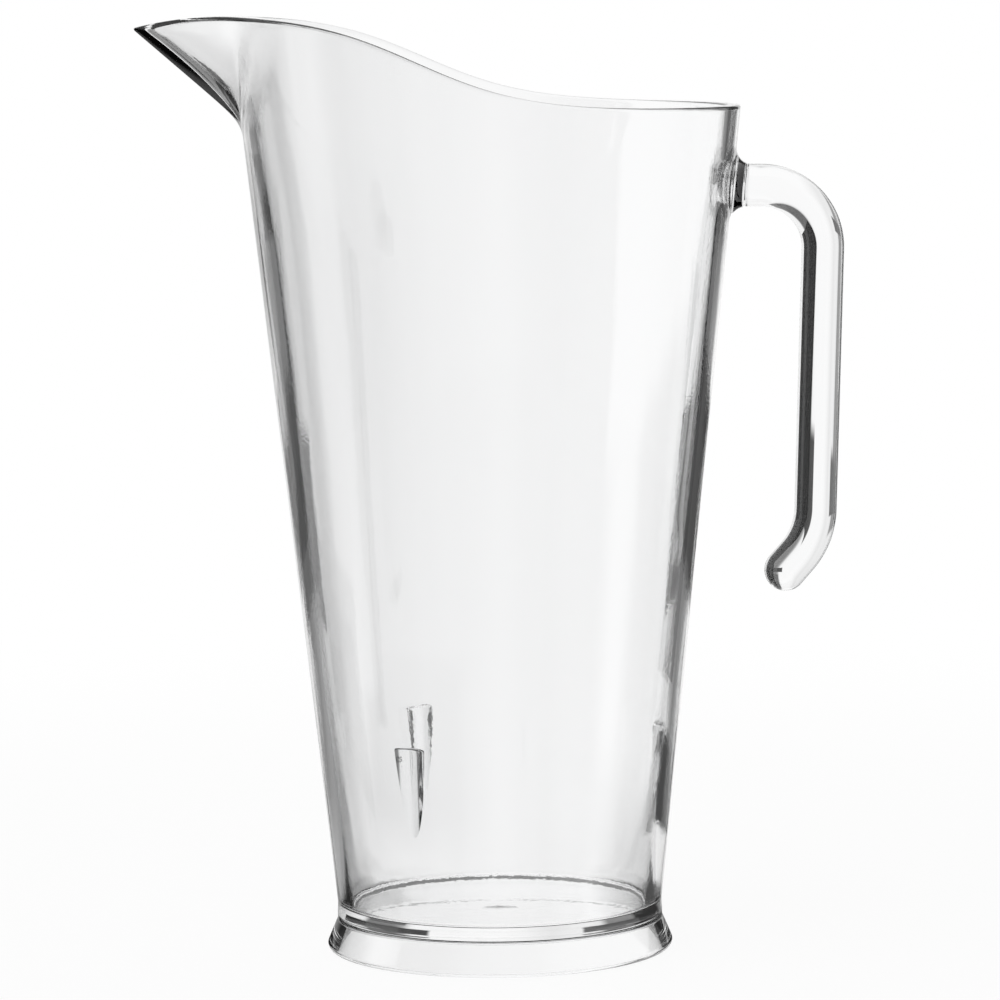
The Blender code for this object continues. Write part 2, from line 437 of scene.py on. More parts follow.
class Shell:
    """Points and faces of one closed piece, gathered ring by ring."""

    CREASE = math.radians(32.0)

    def __init__(self) -> None:
        """Start empty."""
        self.points: list[Point] = []
        self.faces: list[tuple[tuple[int, ...], Face]] = []

    def ring(self, points: Iterable[Point]) -> list[int]:
        """Add points.

        Args:
            points: points of a ring, in order.

        Returns:
            Their numbers.
        """
        first = len(self.points)
        self.points.extend(points)
        return list(range(first, len(self.points)))

    def band(self, lower: list[int], upper: list[int], face: Face = Face.CLEAR,
             skip: Optional[set[int]] = None) -> None:
        """Join two rings by quads.

        Args:
            lower: first ring.
            upper: second ring, of the same length.
            face: what the faces are.
            skip: columns to leave open.
        """
        count = len(lower)
        for j in range(count):
            if skip and j in skip:
                continue
            k = (j + 1) % count
            self.faces.append(((lower[j], lower[k], upper[k], upper[j]), face))

    def fan(self, ring: list[int], tip: Point, face: Face = Face.CLEAR) -> None:
        """Close a ring to one point.

        Args:
            ring: the ring.
            tip: the point.
            face: what the faces are.
        """
        (centre,) = self.ring([tip])
        count = len(ring)
        for j in range(count):
            self.faces.append(((ring[j], ring[(j + 1) % count], centre), face))

    def loft(self, rings: Sequence[Ring], face: Face = Face.CLEAR) -> list[list[int]]:
        """Add rings and join each to the next.

        Args:
            rings: rings of equal length.
            face: what the faces are.

        Returns:
            The numbers of each ring.
        """
        loops = [self.ring(ring) for ring in rings]
        for lower, upper in zip(loops, loops[1:]):
            self.band(lower, upper, face)
        return loops

    def piece(self, name: str, clear: ClearPlastic) -> bpy.types.Object:
        """Turn the shell into an object.

        Args:
            name: piece name.
            clear: finish of the open faces.

        Returns:
            The object, linked to the scene.
        """
        bm = bmesh.new()
        verts = [bm.verts.new(point) for point in self.points]
        for numbers, face in self.faces:
            bm.faces.new([verts[n] for n in numbers]).material_index = face.value
        bmesh.ops.recalc_face_normals(bm, faces=bm.faces)
        for edge in bm.edges:
            kinds = {linked.material_index for linked in edge.link_faces}
            edge.smooth = len(kinds) == 1 and edge.calc_face_angle(0.0) < self.CREASE
        for polygon in bm.faces:
            polygon.smooth = True
        mesh = bpy.data.meshes.new(name)
        bm.to_mesh(mesh)
        bm.free()
        mesh.materials.append(clear.material())
        if any(face is Face.WELDED for _, face in self.faces):
            mesh.materials.append(WeldedFace().material())
        return put(name, mesh)


def put(name: str, data: bpy.types.ID) -> bpy.types.Object:
    """Put a new object into the scene.

    Args:
        name: what it is called.
        data: its mesh, light or camera.

    Returns:
        The object.
    """
    made = bpy.data.objects.new(name, data)
    bpy.context.scene.collection.objects.link(made)
    return made


def softplus(value: float, softness: float) -> float:
    """Rounded version of max(value, 0)."""
    scaled = value / softness
    return softness * (max(scaled, 0.0) + math.log1p(math.exp(-abs(scaled))))


def soft_step(value: float, start: float, end: float) -> float:
    """0 before the start, 1 after the end and a smooth rise between them."""
    share = min(max((value - start) / (end - start), 0.0), 1.0)
    return share * share * (3.0 - 2.0 * share)


def blend(low: float, high: float, share: float) -> float:
    """Straight blend of two numbers."""
    return low + (high - low) * share


def bezier(start: Flat, corner: Flat, end: Flat, steps: int) -> list[Flat]:
    """Points of a soft corner.

    Args:
        start: where it leaves the first side.
        corner: where the two sides would meet.
        end: where it joins the second side.
        steps: spans.

    Returns:
        The points, both ends included.
    """
    points = []
    for k in range(steps + 1):
        t = k / steps
        first, middle, last = (1.0 - t) ** 2, 2.0 * t * (1.0 - t), t ** 2
        points.append(tuple(first * a + middle * b + last * c for a, b, c in zip(start, corner, end)))
    return points


def polar(centre: Flat, radius: float, angle: float) -> Flat:
    """Point at a distance and an angle from a centre."""
    return (centre[0] + radius * math.cos(angle), centre[1] + radius * math.sin(angle))


def settle(piece: bpy.types.Object, slot: str, *nodes: str) -> None:
    """Hand a piece to the frame.

    Args:
        piece: the new piece.
        slot: not used.
        nodes: frame nodes that it stands for.
    """
    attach(piece, BODY)
    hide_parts(*nodes)
    LOG.info("%s: %d faces", piece.name, len(piece.data.polygons))


@dataclass(frozen=True)
class WallForm:
    """The conical wall, its beak spout and its swooping rim, as formulas."""

    thickness: float = 0.0040
    flare: float = 0.1073
    radius_at_table: float = 0.0455
    end_z: float = 0.0110
    band_radius: float = 0.0471
    rim_low_z: float = 0.2427
    rim_rise: float = 0.0275
    rim_middle_x: float = -0.0195
    rim_spread: float = 0.0153
    lip_start_x: float = -0.0713
    lip_dip: float = 4.0
    lip_round: float = 0.0008
    keel_foot_z: float = 0.2388
    keel_slope: float = 1.11
    keel_softness: float = 0.0018
    spout_reach: float = 0.0305
    spout_crease: float = math.radians(22.0)
    crease_softness: float = 0.07
    nose_angle: float = 0.02
    nose_depth: float = 0.0144
    spout_extra: float = 0.0012
    extra_rise: Flat = (0.066, 0.190)
    extra_fade: Flat = (0.200, 0.2388)
    least_reach: float = 1.0e-6
    rim_iterations: int = 40
    half_columns: int = 120
    column_crowding: float = 1.5

    def radius(self, z: float) -> float:
        """Outer radius of the cone at a height."""
        return self.radius_at_table + self.flare * z

    def inner_radius(self, z: float) -> float:
        """Inner radius of the cone at a height."""
        return self.radius(z) - self.thickness

    def reach(self, z: float) -> float:
        """How far the sharp keel stands out of the cone at a height."""
        return max(self.keel_slope * softplus(z - self.keel_foot_z, self.keel_softness), self.least_reach)

    def fullness(self, azimuth: float, z: float) -> float:
        """Thickness of the wall, as a share of the plain one: most on the spout's side, half way up."""
        height = soft_step(z, *self.extra_rise) - soft_step(z, *self.extra_fade)
        return 1.0 + self.spout_extra / self.thickness * height * 0.5 * (1.0 + math.cos(azimuth))

    def section_radius(self, azimuth: float, z: float, inset: float) -> float:
        """Radius of the wall's section.

        Args:
            azimuth: angle from the spout's side.
            z: height.
            inset: depth under the outer surface of a plain wall.

        Returns:
            Distance from the axis.
        """
        cone = self.radius(z)
        reach = self.reach(z)
        share = reach / self.spout_reach
        crease = self.spout_crease * math.sqrt(share)
        solid = self.nose_depth * inset / self.thickness
        inset *= self.fullness(azimuth, z)
        keel = cone + reach - solid * share * max(1.0 - share, 0.0)
        cheek = math.atan2(cone * math.sin(crease), keel - cone * math.cos(crease))
        normal = QUARTER_TURN - cheek
        along = min(math.hypot(azimuth, self.nose_angle), normal)
        line = (keel * math.sin(cheek) - inset) / math.cos(normal - along)
        return cone - inset + softplus(line - cone + inset, self.crease_softness * reach)

    def point(self, azimuth: float, z: float, inset: float) -> Point:
        """Point of the wall.

        Args:
            azimuth: angle from the spout's side.
            z: height.
            inset: depth under the outer surface of a plain wall.

        Returns:
            The point.
        """
        turned = math.remainder(azimuth, math.tau)
        radius = self.section_radius(turned, z, inset)
        return (-radius * math.cos(turned), -radius * math.sin(turned), z)

    def rim_height(self, x: float) -> float:
        """Height of the rim over a place between spout and handle."""
        rise = self.rim_rise / (1.0 + math.exp((x - self.rim_middle_x) / self.rim_spread))
        return self.rim_low_z + rise - self.lip_dip * max(self.lip_start_x - x, 0.0) ** 2

    def rim_z(self, azimuth: float, inset: float) -> float:
        """Height where a column of the wall meets the rim curve.

        Args:
            azimuth: the column's angle from the spout's side.
            inset: depth under the outer surface.

        Returns:
            The height.
        """
        z = self.rim_low_z
        for _ in range(self.rim_iterations):
            z = 0.5 * (z + self.rim_height(self.point(azimuth, z, inset)[0]))
        return z

    def azimuths(self) -> list[float]:
        """Azimuths of the columns, crowded together at the keel, from 0 up to a full turn."""
        half = [math.pi * (j / self.half_columns) ** self.column_crowding for j in range(1, self.half_columns)]
        return [0.0, *half, math.pi, *(math.tau - angle for angle in reversed(half))]

    def turned_ring(self, radius: float, z: float) -> Ring:
        """Round ring with the wall's own columns."""
        return [(-radius * math.cos(a), -radius * math.sin(a), z) for a in self.azimuths()]


@dataclass(frozen=True)
class RootForm:
    """Where the handle's flared root meets the wall."""

    wall: WallForm
    rod_radius: float = 0.0061
    rod_z: float = 0.2196
    fillet: float = 0.0050
    sides: int = 64
    first_angle: float = -0.75 * math.pi
    flare_steps: int = 14

    def angles(self) -> list[float]:
        """Angles of the rod's sides, from +Y towards +Z."""
        return [self.first_angle + math.tau * k / self.sides for k in range(self.sides)]

    def ring(self, share: float) -> Ring:
        """Ring of the flared root.

        Args:
            share: 0 on the wall, 1 where the plain rod starts.

        Returns:
            Points of the ring.
        """
        turn = QUARTER_TURN * share
        swell = self.rod_radius + self.fillet * (1.0 - math.sin(turn))
        out = self.fillet * (1.0 - math.cos(turn))
        wall_x = self.wall.radius(self.rod_z)
        lean = self.wall.flare * (1.0 - out / self.fillet)
        centre = Vector((wall_x + out, 0.0, self.rod_z + self.wall.flare * (self.fillet - out)))
        up = Vector((lean, 0.0, 1.0)).normalized()
        points = []
        for angle in self.angles():
            place = centre + swell * (math.cos(angle) * Vector((0.0, 1.0, 0.0)) + math.sin(angle) * up)
            drop = self.drop(place - Vector((out, 0.0, 0.0))) * (1.0 - share) ** 2
            points.append((place.x - drop, place.y, place.z))
        return points

    def drop(self, place: Vector) -> float:
        """How far a point must move along -X to lie on the cone."""
        radius = self.wall.radius(place.z)
        return place.x - math.sqrt(radius ** 2 - place.y ** 2)

    def places(self, ring: Ring) -> list[Flat]:
        """Azimuth and height of each point of a ring on the wall."""
        return [(math.atan2(-y, -x) % math.tau, z) for x, y, z in ring]


@dataclass(frozen=True)
class Vessel:
    """Conical wall with its beak spout, rounded lip and the weld faces of its neighbours."""

    wall: WallForm
    root: RootForm
    weld_top_z: float
    neck_rows: int = 6
    low_rows: int = 26
    root_low_z: float = 0.2062
    straight_top_z: float = 0.2335
    spout_rows: int = 30
    lip_steps: int = 4
    patch_rings: int = 5
    finish: ClearPlastic = ClearPlastic("vessel_clear", ripple_height=0.0003, ripple_strength=0.45)

    @property
    def patch_cells(self) -> int:
        """Cells along one side of the square round the handle's root."""
        return self.root.sides // 4

    @property
    def patch_first(self) -> int:
        """First column of that square."""
        return self.wall.half_columns - self.patch_cells // 2

    def straight_heights(self) -> list[float]:
        """Rows between the neck and the foot of the spout.

        Returns:
            Their heights, the root's rows last.
        """
        spans = ((self.weld_top_z, self.root_low_z, self.low_rows),
                 (self.root_low_z, self.straight_top_z, self.patch_cells))
        return [blend(low, high, k / rows) for low, high, rows in spans for k in range(rows)] + [self.straight_top_z]

    def spout_rings(self, inset: float, drop: float) -> list[Ring]:
        """Rings from the straight wall up to the edge of the lip.

        Args:
            inset: depth under the outer surface.
            drop: how far below the rim the last ring stops.

        Returns:
            The rings, lowest first.
        """
        columns = self.wall.azimuths()
        tops = [self.wall.rim_z(a, inset) - drop for a in columns]
        rings = []
        for row in range(1, self.spout_rows + 1):
            share = row / self.spout_rows
            rings.append([self.wall.point(a, blend(self.straight_top_z, top, share), inset)
                          for a, top in zip(columns, tops)])
        return rings

    def lip_rings(self) -> list[Ring]:
        """Rings over the rounded lip.

        Returns:
            The rings, from the outer edge to the inner one.
        """
        columns = self.wall.azimuths()
        size = self.wall.lip_round
        outer, inner = [], []
        for k in range(1, self.lip_steps + 1):
            turn = QUARTER_TURN * k / self.lip_steps
            inset, drop = size * (1.0 - math.cos(turn)), size * (1.0 - math.sin(turn))
            outer.append([self.wall.point(a, self.wall.rim_z(a, inset) - drop, inset) for a in columns])
            depth = self.wall.thickness - inset
            inner.append([self.wall.point(a, self.wall.rim_z(a, depth) - drop, depth) for a in columns])
        return outer + inner[::-1]

    def neck_rings(self) -> list[Ring]:
        """Rings of the flared neck.

        Returns:
            The rings, from the ridge over the foot up to the plain cone.
        """
        flare = self.wall.band_radius - self.wall.radius(self.wall.end_z)
        rings = []
        for k in range(self.neck_rows):
            share = k / self.neck_rows
            z = blend(self.wall.end_z, self.weld_top_z, share)
            rings.append(self.wall.turned_ring(self.wall.radius(z) + flare * (1.0 - share) ** 2, z))
        return rings

    def root_patch(self, shell: Shell, loops: list[list[int]]) -> None:
        """Fill the square left open round the handle's root.

        Args:
            shell: the wall.
            loops: the rows of the square, lowest first.
        """
        first, cells = self.patch_first, self.patch_cells
        left = [loop[first] for loop in loops]
        right = [loop[first + cells] for loop in loops]
        edge = loops[0][first:first + cells] + right[:-1]
        edge += loops[-1][first + 1:first + cells + 1][::-1] + left[:0:-1]
        square = self.root.places([shell.points[n] for n in edge])
        oval = self.root.places(self.root.ring(0.0))
        lower = edge
        for k in range(1, self.patch_rings + 1):
            share = k / self.patch_rings
            mixed = [(blend(a, c, share), blend(b, d, share)) for (a, b), (c, d) in zip(square, oval)]
            upper = shell.ring([self.wall.point(a, z, 0.0) for a, z in mixed])
            shell.band(lower, upper)
            lower = upper
        middle = (math.pi, sum(z for _, z in oval) / len(oval))
        inner = [(blend(a, middle[0], 0.5), blend(z, middle[1], 0.5)) for a, z in oval]
        upper = shell.ring([self.wall.point(a, z, 0.0) for a, z in inner])
        shell.band(lower, upper, Face.WELDED)
        shell.fan(upper, self.wall.point(*middle, 0.0), Face.WELDED)

    def build(self) -> None:
        """Loft the wall up the outside, over the lip and down the inside."""
        columns = self.wall.azimuths()
        heights = self.straight_heights()
        shell = Shell()
        outer = self.neck_rings() + [[self.wall.point(a, z, 0.0) for a in columns] for z in heights]
        loops = [shell.ring(ring) for ring in outer]
        hole = set(range(self.patch_first, self.patch_first + self.patch_cells))
        low = len(loops) - self.patch_cells - 1
        for row, (lower, upper) in enumerate(zip(loops, loops[1:])):
            shell.band(lower, upper, skip=hole if row >= low else None)
        self.root_patch(shell, loops[low:])
        lip = self.wall.lip_round
        inside = [[self.wall.point(a, z, self.wall.thickness) for a in columns] for z in reversed(heights)]
        above = self.spout_rings(0.0, lip) + self.lip_rings()
        above += self.spout_rings(self.wall.thickness, lip)[::-1] + inside
        top = shell.loft(above)
        shell.band(loops[-1], top[0])
        last = shell.ring(self.wall.turned_ring(self.wall.inner_radius(self.wall.end_z), self.wall.end_z))
        shell.band(top[-1], last, Face.WELDED)
        shell.band(last, loops[0], Face.WELDED)
        settle(shell.piece("vessel", self.finish), "vessel", "vessel_body")


@dataclass(frozen=True)
class FloorDish:
    """Dished floor with a fillet up the wall and a shallow gate mark underneath."""

    wall: WallForm
    centre_z: float = 0.0112
    rise: float = 0.0020
    thickness: float = 0.0038
    fillet: float = 0.0015
    land: float = 0.0021
    gate_radius: float = 0.0057
    gate_depth: float = 0.0001
    gate_slope: float = 0.0034
    steps: int = 28
    fillet_steps: int = 8
    finish: ClearPlastic = ClearPlastic(
        "floor_clear", ripple_scale=120.0, ripple_stretch=(1.0, 1.0, 1.0), ripple_strength=0.16)

    @property
    def edge_z(self) -> float:
        """Height of the dish's edge."""
        return self.centre_z + self.rise

    @property
    def top_z(self) -> float:
        """Height where the fillet ends on the wall."""
        return self.edge_z + self.fillet

    @property
    def edge_radius(self) -> float:
        """Radius of the dish's edge."""
        return self.wall.inner_radius(self.edge_z) - self.land

    @property
    def under_z(self) -> float:
        """Height of the underside at the edge."""
        return self.edge_z - self.thickness

    @property
    def side_radius(self) -> float:
        """Radius of the floor's lower side."""
        return self.wall.inner_radius(self.wall.end_z)

    def dish_z(self, radius: float) -> float:
        """Height of the dish at a radius."""
        return self.edge_z - self.rise * (1.0 - (radius / self.edge_radius) ** 2)

    def build(self) -> None:
        """Turn the floor's profile."""
        ring = self.wall.turned_ring
        radii = [self.edge_radius * k / self.steps for k in range(1, self.steps + 1)]
        top = [(r, self.dish_z(r)) for r in radii]
        wall_top = (self.wall.inner_radius(self.top_z), self.top_z)
        corner = (self.wall.inner_radius(self.edge_z) - self.wall.flare * self.fillet / 2, self.edge_z)
        top += bezier(top[-1], corner, wall_top, self.fillet_steps)[1:]
        shell = Shell()
        upper = shell.loft([ring(r, z) for r, z in top])
        shell.fan(upper[0], (0.0, 0.0, self.centre_z))
        side = [(self.side_radius, self.wall.end_z), (self.side_radius, self.under_z)]
        weld = shell.loft([ring(r, z) for r, z in side], Face.WELDED)
        shell.band(upper[-1], weld[0], Face.WELDED)
        under = [(r, self.dish_z(r) - self.thickness) for r in reversed(radii) if r > self.gate_radius]
        gate_z = self.dish_z(self.gate_radius) - self.thickness
        under += [(self.gate_radius, gate_z), (self.gate_radius - self.gate_slope, gate_z + self.gate_depth)]
        lower = shell.loft([ring(r, z) for r, z in under])
        shell.band(weld[-1], lower[0])
        shell.fan(lower[-1], (0.0, 0.0, gate_z + self.gate_depth))
        settle(shell.piece("floor", self.finish), "floor", "floor_disc")


@dataclass(frozen=True)
class FootRing:
    """Flared skirt under the wall, open below the floor."""

    wall: WallForm
    floor: FloorDish
    radius: float = 0.0500
    skirt_wall: float = 0.0031
    corner: float = 0.0015
    corner_start: float = math.radians(22.0)
    corner_steps: int = 10
    heel_z: float = 0.0087
    heel_round: float = 0.0003
    heel_steps: int = 5
    inner_round: float = 0.0006
    inner_steps: int = 5
    root_radius: float = 0.0446
    root_round: float = 0.0009
    root_steps: int = 8
    finish: ClearPlastic = ClearPlastic("foot_clear")

    def profile(self) -> list[Flat]:
        """Open part of the profile.

        Returns:
            Radii and heights, from the ridge down the outside and up the inside to the seat.
        """
        turns = [blend(self.corner_start, -QUARTER_TURN, k / self.corner_steps)
                 for k in range(self.corner_steps + 1)]
        rounded = [polar((self.radius - self.corner, self.corner), self.corner, turn) for turn in turns]
        heel = (self.wall.band_radius, self.heel_z)
        above = (heel[0], heel[1] + self.heel_round)
        slide = self.heel_round / (heel[1] - rounded[0][1])
        below = (blend(heel[0], rounded[0][0], slide), heel[1] - self.heel_round)
        outer = [(heel[0], self.wall.end_z)] + bezier(above, heel, below, self.heel_steps) + rounded
        inner = self.radius - self.skirt_wall
        top = (self.root_radius, self.floor.under_z)
        low = self.inner_round / top[1]
        high = 1.0 - self.root_round / top[1]
        edge = bezier((inner + self.inner_round, 0.0), (inner, 0.0),
                      (blend(inner, top[0], low), self.inner_round), self.inner_steps)
        root = bezier((blend(inner, top[0], high), top[1] - self.root_round), top,
                      (top[0] - self.root_round, top[1]), self.root_steps)
        return outer + edge + root + [(self.floor.side_radius, self.floor.under_z)]

    def build(self) -> None:
        """Turn the ring."""
        ring = self.wall.turned_ring
        shell = Shell()
        open_side = shell.loft([ring(r, z) for r, z in self.profile()])
        weld = shell.ring(ring(self.floor.side_radius, self.wall.end_z))
        shell.band(open_side[-1], weld, Face.WELDED)
        shell.band(weld, open_side[0], Face.WELDED)
        settle(shell.piece("foot_ring_clear", self.finish), "foot", "foot_ring")


@dataclass(frozen=True)
class HookHandle:
    """Round rod that leaves the wall with a flared root, runs down and hooks back."""

    root: RootForm
    bend_x: float = 0.0770
    bend_radius: float = 0.0178
    lean: float = math.radians(1.9)
    upright_end_z: float = 0.1262
    hook_radius: float = 0.0220
    hook_turn: float = math.radians(39.3)
    tail: float = 0.0050
    bend_steps: int = 30
    upright_steps: int = 14
    hook_steps: int = 18
    tip_steps: int = 12
    finish: ClearPlastic = ClearPlastic("handle_clear", ripple_strength=0.05)

    def rod_ring(self, centre: Flat, angle: float, share: float = 1.0) -> Ring:
        """Ring square to the rod.

        Args:
            centre: place of its middle in the XZ plane.
            angle: direction of its outer side in the XZ plane, from +X.
            share: share of the rod's radius.

        Returns:
            Points of the ring.
        """
        size = self.root.rod_radius * share
        points = []
        for turn in self.root.angles():
            out = size * math.sin(turn)
            points.append((centre[0] + out * math.cos(angle), size * math.cos(turn),
                           centre[1] + out * math.sin(angle)))
        return points

    def arc(self, centre: Flat, radius: float, start: float, end: float, steps: int) -> list[Ring]:
        """Rings round a bend.

        Args:
            centre: middle of the bend in the XZ plane.
            radius: radius of the rod's middle line.
            start: angle of the first ring.
            end: angle of the last ring.
            steps: spans.

        Returns:
            The rings.
        """
        rings = []
        for k in range(steps + 1):
            angle = blend(start, end, k / steps)
            rings.append(self.rod_ring(polar(centre, radius, angle), angle))
        return rings

    def build(self) -> None:
        """Sweep the rod."""
        root = self.root
        rings = [root.ring(k / root.flare_steps) for k in range(root.flare_steps + 1)]
        bend_centre = (self.bend_x, root.rod_z - self.bend_radius)
        rings += self.arc(bend_centre, self.bend_radius, QUARTER_TURN, -self.lean, self.bend_steps)
        start = polar(bend_centre, self.bend_radius, -self.lean)
        end = (start[0] - (start[1] - self.upright_end_z) * math.tan(self.lean), self.upright_end_z)
        for k in range(1, self.upright_steps):
            share = k / self.upright_steps
            rings.append(self.rod_ring((blend(start[0], end[0], share), blend(start[1], end[1], share)), -self.lean))
        hook_centre = polar(end, -self.hook_radius, -self.lean)
        heading = self.lean + self.hook_turn
        rings += self.arc(hook_centre, self.hook_radius, -self.lean, -heading, self.hook_steps)
        last = polar(hook_centre, self.hook_radius, -heading)
        for k in range(self.tip_steps):
            sweep = QUARTER_TURN * k / self.tip_steps
            run = self.tail + root.rod_radius * math.sin(sweep)
            place = (last[0] - run * math.sin(heading), last[1] - run * math.cos(heading))
            rings.append(self.rod_ring(place, -heading, math.cos(sweep)))
        reach = self.tail + root.rod_radius
        tip = (last[0] - reach * math.sin(heading), 0.0, last[1] - reach * math.cos(heading))
        shell = Shell()
        loops = shell.loft(rings)
        shell.fan(loops[-1], tip)
        middle = tuple(sum(axis) / root.sides for axis in zip(*rings[0]))
        shell.fan(loops[0], middle, Face.WELDED)
        settle(shell.piece("hook_handle", self.finish), "handle", "handle")


@dataclass(frozen=True)
class StackingLugs:
    """Three round columns on the inside that fade into the tapering wall."""

    wall: WallForm
    count: int = 3
    top_z: float = 0.0646
    fade_z: float = 0.0390
    radius: float = 0.0057
    gap: float = 0.00005
    edge_round: float = 0.0007
    edge_steps: int = 5
    rows: int = 26
    front_steps: int = 28
    back_steps: int = 12
    finish: ClearPlastic = ClearPlastic("lug_clear", ripple_strength=0.04)

    def section(self, z: float, level: float, shrink: float = 0.0) -> Ring:
        """Outline of a column at a height, before it is turned into place.

        Args:
            z: height of the section that is cut.
            level: height at which the points lie.
            shrink: how far the front is drawn back.

        Returns:
            Points round the outline.
        """
        size = self.radius - shrink
        away = self.wall.inner_radius(self.fade_z) - self.gap + self.radius
        back = self.wall.inner_radius(z) - self.gap
        front_half = math.acos((away ** 2 + size ** 2 - back ** 2) / (2.0 * away * size))
        back_half = math.acos((away ** 2 + back ** 2 - size ** 2) / (2.0 * away * back))
        points = []
        for k in range(self.front_steps + 1):
            turn = blend(-front_half, front_half, k / self.front_steps)
            points.append((away - size * math.cos(turn), size * math.sin(turn), level))
        for k in range(1, self.back_steps):
            turn = blend(back_half, -back_half, k / self.back_steps)
            points.append((back * math.cos(turn), back * math.sin(turn), level))
        return points

    def build(self) -> None:
        """Make the columns."""
        span = self.top_z - self.edge_round - self.fade_z
        heights = [self.fade_z + span * (k / self.rows) ** 2 for k in range(1, self.rows + 1)]
        rings = [self.section(z, z) for z in heights]
        for k in range(1, self.edge_steps + 1):
            turn = QUARTER_TURN * k / self.edge_steps
            z = self.top_z - self.edge_round * (1.0 - math.sin(turn))
            rings.append(self.section(z, z, self.edge_round * (1.0 - math.cos(turn))))
        tip = (self.wall.inner_radius(self.fade_z) - self.gap, 0.0, self.fade_z)
        for number in range(1, self.count + 1):
            spin = Matrix.Rotation(math.tau * (number - 1) / self.count, 3, "Z")
            shell = Shell()
            loops = shell.loft([[tuple(spin @ Vector(point)) for point in ring] for ring in rings])
            shell.fan(loops[0], tuple(spin @ Vector(tip)))
            shell.faces.append((tuple(loops[-1]), Face.CLEAR))
            settle(shell.piece(f"lug_{number}", self.finish), "lugs", f"stacking_lug_{number}")


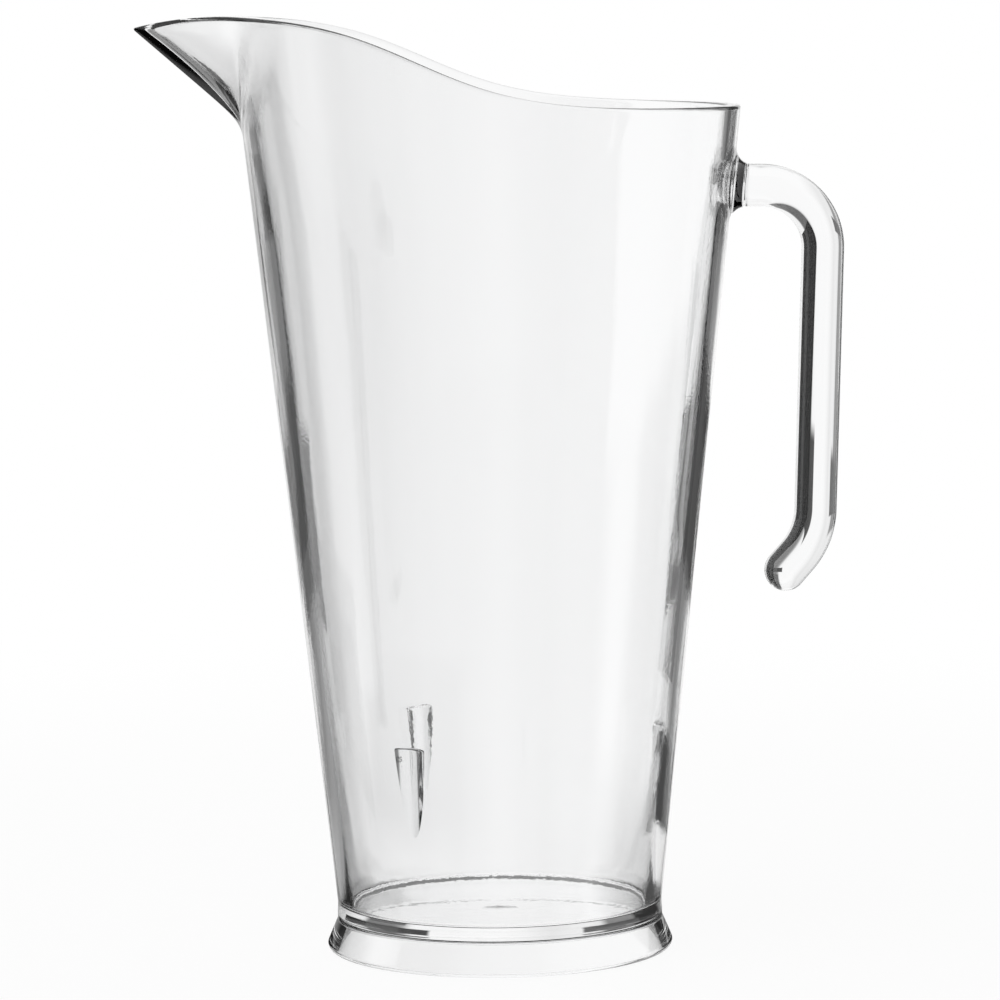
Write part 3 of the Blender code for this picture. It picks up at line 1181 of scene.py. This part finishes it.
@dataclass(frozen=True)
class Studio:
    """Floor, white surroundings, glowing cards of painted reflections and shade that only the glass sees, and a soft
    lamp.
    """

    floor_size: float = 30.0
    card_distance: float = 0.65
    card_height: float = 1.00
    card_start: float = 0.0505
    card_lift: float = 0.0004
    card_steps: int = 96
    lamp_size: float = 2.4
    lamp_power: float = 22.0
    lamp_place: Point = (-1.1, -1.0, 2.4)
    world_level: float = 0.62
    # Standing card that only the glass sees: its tones by bearing are painted reflections and painted shade in the
    # wall.
    standing: PaintedReflectionCard = PaintedReflectionCard("card_standing", (
        (-180, 0.60), (-156, 0.62), (-142, 0.85), (-126, 0.97), (-110, 1.0), (-56, 1.0),
        (-47, 0.95), (-43.5, 0.22), (-30, 0.21), (-26.5, 0.45), (-23.5, 1.0), (0, 1.0), (5, 0.96),
        (9, 0.89), (12.5, 0.82), (17, 0.86), (22, 0.88), (28, 0.82), (30.5, 0.24), (44, 0.25),
        (46.5, 0.03), (72, 0.02), (85, 0.85), (95, 0.85), (108, 0.03), (138, 0.05), (160, 0.45),
        (180, 0.60)),
        areas=(PaintedToneArea((-43.0, -27.0), (0.150, 1.0), 0.13), PaintedToneArea((22.0, 47.0), (0.008, 0.085), 0.09),
               PaintedToneArea((-64.0, -43.5), (0.004, 0.096), 0.03), PaintedToneArea((-43.5, -27.0), (0.004, 0.088), 0.09),
               PaintedToneArea((-27.0, -18.5), (0.004, 0.084), 0.05),
               PaintedToneArea((24.0, 104.0), (0.215, 1.0), 0.85, soft_turn=4.0, soft_row=0.040)))
    # Lying card that only the glass sees: painted reflections and painted shade under the wall, with other tones
    # near the foot.
    lying: PaintedReflectionCard = PaintedReflectionCard("card_lying", (
        (-180, 0.50), (-160, 0.55), (-143, 0.85), (-126, 0.90), (-112, 0.90), (-58, 0.90),
        (-50, 0.85), (-45, 0.24), (-30, 0.22), (-26.5, 0.45), (-23.5, 0.95), (-18, 1.0), (0, 1.0),
        (8, 0.90), (13, 0.83), (24, 0.84), (27.5, 0.78), (30, 0.22), (37, 0.24), (41, 0.32),
        (53, 0.32), (60, 0.02), (72, 0.02), (84, 0.85), (96, 0.85), (110, 0.10), (142, 0.08),
        (160, 0.35), (180, 0.50)), (
        (-180, 0.45), (-156, 0.50), (-143, 0.85), (-126, 0.90), (-114, 0.08), (-62, 0.08),
        (-52, 0.20), (-42, 0.60), (-34, 0.85), (-26, 0.95), (0, 1.0), (17, 0.97), (27, 0.92),
        (33, 0.55), (38, 0.42), (54, 0.42), (60, 0.02), (135, 0.05), (160, 0.30), (180, 0.45)),
        areas=(PaintedToneArea((-60.0, -27.0), (0.108, 0.170), 0.85, soft_turn=3.0, soft_row=0.012),
               PaintedToneArea((-62.0, -31.0), (0.180, 0.300), 0.07),
               PaintedToneArea((100.0, 155.0), (0.050, 0.290), 0.04, soft_turn=8.0, soft_row=0.030)))
    # Near-black glowing sheet by the handle that only the glass sees: painted shade for the handle's dark strip.
    painted_handle_shade: PaintedReflectionCard = PaintedReflectionCard("card_handle", ((-180, 0.005), (180, 0.005)))
    painted_shade_centre: Flat = (0.0935, 0.0)
    painted_shade_distance: float = 0.045
    painted_shade_bearings: Flat = (-54.0, -15.5)
    painted_shade_heights: Flat = (0.060, 0.215)

    def sheet(self, name: str, finish: Union[PaperFloor, PaintedReflectionCard], points: list[Point],
              faces: list[tuple[int, ...]], seen: Seen) -> None:
        """Put up a plain sheet.

        Args:
            name: what it is called.
            finish: what it is made of; for a card, glowing painted reflections.
            points: its corners.
            faces: its faces, as numbers of corners.
            seen: which rays see it.
        """
        mesh = bpy.data.meshes.new(name)
        mesh.from_pydata(points, [], faces)
        mesh.materials.append(finish.material())
        sheet = put(name, mesh)
        # A card is seen only by glass: its glow paints reflections and shade and casts no shadow.
        if seen is Seen.THROUGH_GLASS:
            sheet.visible_camera = False
            sheet.visible_diffuse = False
            sheet.visible_shadow = False

    def card(self, finish: PaintedReflectionCard, rows: tuple[Flat, Flat], bearings: Flat = (-180.0, 180.0),
             centre: Flat = (0.0, 0.0)) -> None:
        """Round card that glows with painted reflections and shade, seen only in the glass.

        Args:
            finish: the painted reflection tones that glass sees.
            rows: distance from the centre and height of its two edges.
            bearings: where it starts and ends, in degrees from +Y towards -X.
            centre: what it goes round.
        """
        points, faces = [], []
        for k in range(self.card_steps + 1):
            turn = math.radians(blend(*bearings, k / self.card_steps))
            points += [(centre[0] - far * math.sin(turn), centre[1] + far * math.cos(turn), z) for far, z in rows]
        for k in range(0, 2 * self.card_steps, 2):
            faces.append((k, k + 1, k + 3, k + 2))
        self.sheet(finish.name, finish, points, faces, Seen.THROUGH_GLASS)

    def world(self) -> None:
        """White surroundings for the lens, a plain level for the light."""
        world = bpy.data.worlds.new("white_studio")
        world.use_nodes = True
        bpy.context.scene.world = world
        recipe = Recipe(world.node_tree)
        strength = self.world_level + (1.0 - self.world_level) * recipe.seen_by_lens()
        light = recipe.node("Background", None, {"Color": (1.0, 1.0, 1.0, 1.0), "Strength": strength})
        recipe.surface(light, "OutputWorld")

    def build(self) -> None:
        """Set up the studio."""
        half = self.floor_size / 2
        corners = [(-half, -half, 0.0), (half, -half, 0.0), (half, half, 0.0), (-half, half, 0.0)]
        self.sheet("floor_sweep", PaperFloor(), corners, [(0, 1, 2, 3)], Seen.ALWAYS)
        start, end = self.card_start, self.card_distance
        self.card(self.lying, ((start, self.card_lift), (end, self.card_lift)))
        self.card(self.standing, ((end, self.card_lift), (end, self.card_height)))
        # Sheet of painted shade beside the handle.
        painted_shade_rows = tuple((self.painted_shade_distance, z) for z in self.painted_shade_heights)
        self.card(self.painted_handle_shade, painted_shade_rows, self.painted_shade_bearings, self.painted_shade_centre)
        self.world()
        lamp = bpy.data.lights.new("soft_lamp", "AREA")
        lamp.size = self.lamp_size
        lamp.energy = self.lamp_power
        holder = put("soft_lamp", lamp)
        holder.location = self.lamp_place
        holder.rotation_euler = (-Vector(self.lamp_place)).to_track_quat("-Z", "Y").to_euler()
        holder.visible_glossy = False
        holder.visible_transmission = False
        bpy.context.scene.view_settings.view_transform = "Standard"
        LOG.info("studio is set")


@dataclass(frozen=True)
class Lens:
    """Camera at the photograph's viewing angle."""

    place: Point = (0.001430, -1.38387, 0.27546)
    pitch: float = math.radians(6.006636)
    roll: float = math.radians(0.6842876)
    focal: float = 173.86
    sensor: float = 36.0

    def build(self) -> None:
        """Make the camera and use it."""
        data = bpy.data.cameras.new("lens")
        data.lens = self.focal
        data.sensor_width = self.sensor
        camera = put("lens", data)
        tilt = Euler((QUARTER_TURN - self.pitch, 0.0, 0.0)).to_matrix()
        turned = tilt @ Matrix.Rotation(-self.roll, 3, "Z")
        camera.location = self.place
        camera.rotation_euler = turned.to_euler()
        bpy.context.scene.camera = camera


def main() -> None:
    """Build the pitcher, the studio and the camera."""
    logging.basicConfig(level=logging.INFO, format="%(name)s %(message)s")
    wall = WallForm()
    root = RootForm(wall)
    floor = FloorDish(wall)
    Vessel(wall, root, floor.top_z).build()
    floor.build()
    FootRing(wall, floor).build()
    HookHandle(root).build()
    StackingLugs(wall).build()
    Studio().build()
    Lens().build()


if __name__ == "__main__":
    main()
